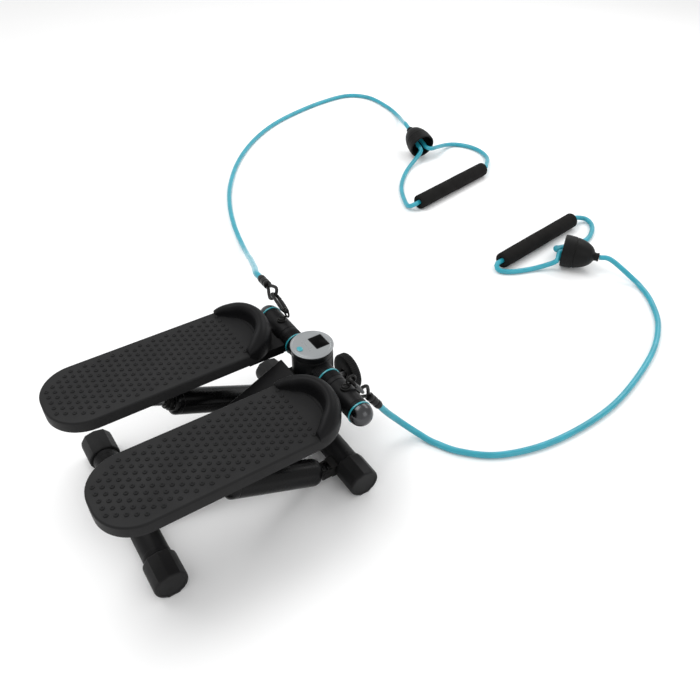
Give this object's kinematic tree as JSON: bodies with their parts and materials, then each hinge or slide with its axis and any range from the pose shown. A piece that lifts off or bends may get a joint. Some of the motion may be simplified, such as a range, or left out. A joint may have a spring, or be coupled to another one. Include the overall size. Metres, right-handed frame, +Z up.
{
  "type": "mini stepper",
  "caption": "Low mini stepper with hinged studded pedals on oil dampers, a rocker link, a step counter on its cross bar and elastic pull bands with foam grips",
  "frame": {"origin": "on the floor, under the middle of the machine's own box, bands left out", "axes": "+X the user's right along the base tubes, +Y from heel to toe, +Z up"},
  "size_m": [1.3866, 1.2602, 0.1993],
  "materials": {
    "frame_paint": "satin black powder coat",
    "pedal_plastic": "matte black moulded, studded",
    "toe_rubber": "soft matte black",
    "cap_plastic": "matte black",
    "housing_plastic": "semi-gloss near-black",
    "teal_trim": "glossy teal",
    "console_silver": "silver paint",
    "screen_black": "dark glossy window",
    "dome_metal": "smoky metallic plating",
    "steel": "bright steel",
    "hardware_black": "dark plated steel",
    "damper_black": "glossy black paint",
    "band_elastic": "satin teal",
    "stopper_rubber": "matte black",
    "grip_foam": "matte foam"
  },
  "bodies": {
    "frame": {"rear_base_tube": "frame_paint", "front_base_tube": "frame_paint", "front_left_foot_cap": "cap_plastic", "front_right_foot_cap": "cap_plastic", "rear_left_foot_cap": "cap_plastic", "rear_right_foot_cap": "cap_plastic", "front_post": "frame_paint", "central_beam": "frame_paint", "hub_housing": "housing_plastic", "cross_axle": "steel", "console_face": "console_silver", "lcd_screen": "screen_black", "adjuster_spindle": "steel", "step_sensor": "housing_plastic", "left_inner_ring": "teal_trim", "left_outer_ring": "teal_trim", "left_bar_collar": "frame_paint", "left_end_dome": "dome_metal", "left_eyebolt": "hardware_black", "left_front_clevis": "hardware_black", "left_snap_hook": "hardware_black", "left_wire_ferrule": "hardware_black", "left_band": "band_elastic", "left_cone": "stopper_rubber", "left_loop_strand": "band_elastic", "left_foam_grip": "grip_foam", "right_inner_ring": "teal_trim", "right_outer_ring": "teal_trim", "right_bar_collar": "frame_paint", "right_end_dome": "dome_metal", "right_eyebolt": "hardware_black", "right_front_clevis": "hardware_black", "right_snap_hook": "hardware_black", "right_wire_ferrule": "hardware_black", "right_band": "band_elastic", "right_cone": "stopper_rubber", "right_loop_strand": "band_elastic", "right_foam_grip": "grip_foam"},
    "rocker": {"rocker_lever": "hardware_black", "sensor_magnet": "steel"},
    "knob": {"adjuster_knob": "stopper_rubber"},
    "button": {"mode_button": "teal_trim"},
    "left_pedal": {"left_pivot_sleeve": "frame_paint", "left_pedal_arm": "frame_paint", "left_pedal_tread": "pedal_plastic", "left_toe_cup": "toe_rubber", "left_rear_clevis": "hardware_black"},
    "left_damper": {"left_damper_cylinder": "damper_black", "left_gland_nut": "hardware_black"},
    "left_rod": {"left_damper_rod": "steel"},
    "right_pedal": {"right_pivot_sleeve": "frame_paint", "right_pedal_arm": "frame_paint", "right_pedal_tread": "pedal_plastic", "right_toe_cup": "toe_rubber", "right_rear_clevis": "hardware_black"},
    "right_damper": {"right_damper_cylinder": "damper_black", "right_gland_nut": "hardware_black"},
    "right_rod": {"right_damper_rod": "steel"}
  },
  "joints": [
    {"name": "left_pedal_hinge", "type": "hinge", "parent": "frame", "child": "left_pedal", "pos_m": [0, 0.1461, 0.1511], "axis": [1, 0, 0], "range_deg": [-11, 11]},
    {"name": "right_pedal_hinge", "type": "hinge", "parent": "frame", "child": "right_pedal", "pos_m": [0, 0.1461, 0.1511], "axis": [1, 0, 0], "range_deg": [-11, 11]},
    {"name": "rocker_hinge", "type": "hinge", "parent": "frame", "child": "rocker", "pos_m": [0, 0.1745, 0.097], "axis": [0, 1, 0], "range_deg": [-8, 8]},
    {"name": "knob_turn", "type": "hinge", "parent": "frame", "child": "knob", "pos_m": [0, 0.202, 0.097], "axis": [0, 1, 0], "continuous": true},
    {"name": "button_press", "type": "slide", "parent": "frame", "child": "button", "axis": [0, 0, -1], "range_m": [0, 0.0008], "stiffness_N_per_m": 300},
    {"name": "left_damper_swing", "type": "hinge", "parent": "frame", "child": "left_damper", "pos_m": [-0.095, 0.1023, 0.0225], "axis": [1, 0, 0], "range_deg": [-10.6, 10.6]},
    {"name": "left_rod_slide", "type": "slide", "parent": "left_damper", "child": "left_rod", "axis": [0, -0.9056, 0.4242], "range_m": [-0.027, 0.027]},
    {"name": "right_damper_swing", "type": "hinge", "parent": "frame", "child": "right_damper", "pos_m": [0.095, 0.1023, 0.0225], "axis": [1, 0, 0], "range_deg": [-10.6, 10.6]},
    {"name": "right_rod_slide", "type": "slide", "parent": "right_damper", "child": "right_rod", "axis": [0, -0.9056, 0.4242], "range_m": [-0.027, 0.027]}
  ],
  "couplings": [
    {"joint": "right_pedal_hinge", "follows": "left_pedal_hinge", "ratio": -1},
    {"joint": "rocker_hinge", "follows": "left_pedal_hinge", "ratio": 0.5762},
    {"joint": "left_damper_swing", "follows": "left_pedal_hinge", "ratio": 0.94258},
    {"joint": "left_rod_slide", "follows": "left_pedal_hinge", "m_per_rad": -0.13534},
    {"joint": "right_damper_swing", "follows": "left_pedal_hinge", "ratio": -0.94258},
    {"joint": "right_rod_slide", "follows": "left_pedal_hinge", "m_per_rad": 0.13534}
  ]
}
